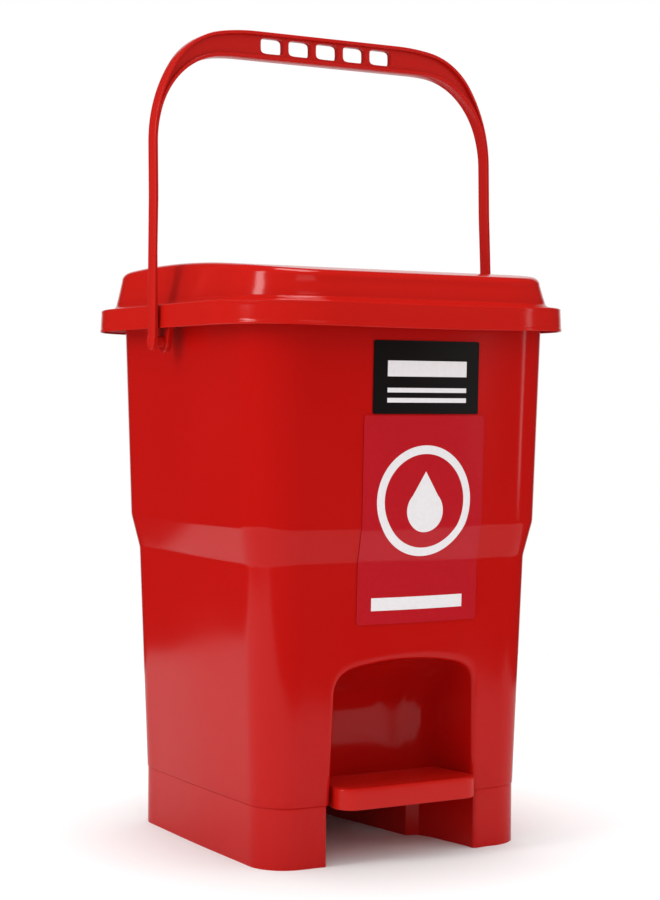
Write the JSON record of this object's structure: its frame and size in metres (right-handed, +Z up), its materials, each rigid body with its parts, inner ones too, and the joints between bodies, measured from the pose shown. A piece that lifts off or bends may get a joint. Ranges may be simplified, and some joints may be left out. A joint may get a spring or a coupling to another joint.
{
  "type": "pedal waste bin",
  "caption": "Red pedal-operated lab waste bin with a hinged lid, front foot pedal, rear lift rod and a swinging bail handle with a slotted grip.",
  "frame": {"origin": "on the floor, under the middle of the lid", "axes": "+Z up, -Y towards the pedal (front), +X to the viewer's right from the front"},
  "size_m": [0.2924, 0.311, 0.5956],
  "materials": {
    "red_shell": "glossy moulded polypropylene",
    "red_base": "glossy moulded polypropylene, slightly duller",
    "red_lid": "glossy moulded polypropylene",
    "red_handle": "semi-gloss moulded polypropylene",
    "red_pedal": "semi-gloss moulded polypropylene",
    "zinc_steel": "zinc-plated steel wire and fasteners",
    "black_label": "printed satin sticker with plain white bars",
    "printed_film": null
  },
  "bodies": {
    "base": {"body_shell": "red_shell", "base_frame": "red_base", "pedal_axle": "zinc_steel", "axle_clip_left": "zinc_steel", "axle_clip_right": "zinc_steel", "hinge_pin_left": "zinc_steel", "hinge_pin_right": "zinc_steel", "base_screw_1": "zinc_steel", "base_screw_2": "zinc_steel", "base_screw_3": "zinc_steel", "base_screw_4": "zinc_steel", "rod_guide": "red_base", "guide_screw_1": "zinc_steel", "guide_screw_2": "zinc_steel", "name_label": "black_label", "warning_film": "printed_film"},
    "pedal": {"pedal": "red_pedal"},
    "rod": {"lift_rod": "zinc_steel", "rod_clip_lower": "zinc_steel", "rod_clip_upper": "zinc_steel"},
    "lid": {"lid": "red_lid"},
    "handle": {"handle": "red_handle"}
  },
  "joints": [
    {"name": "lid_hinge", "type": "hinge", "parent": "base", "child": "lid", "pos_m": [0, 0.1422, 0.377], "axis": [-1, 0, 0], "range_deg": [0, 38]},
    {"name": "pedal_press", "type": "hinge", "parent": "base", "child": "pedal", "pos_m": [0, 0.0407, 0.021], "axis": [1, 0, 0], "range_deg": [0, 6.89]},
    {"name": "rod_swing", "type": "hinge", "parent": "pedal", "child": "rod", "pos_m": [0, 0.12717, 0.01553], "axis": [1, 0, 0], "range_deg": [-6.89, 0]},
    {"name": "handle_swing", "type": "hinge", "parent": "base", "child": "handle", "pos_m": [0, -0.0038, 0.366], "axis": [1, 0, 0], "range_deg": [-136, 143]}
  ],
  "couplings": [
    {"joint": "pedal_press", "follows": "lid_hinge", "ratio": 0.18107},
    {"joint": "rod_swing", "follows": "lid_hinge", "ratio": -0.18107}
  ]
}
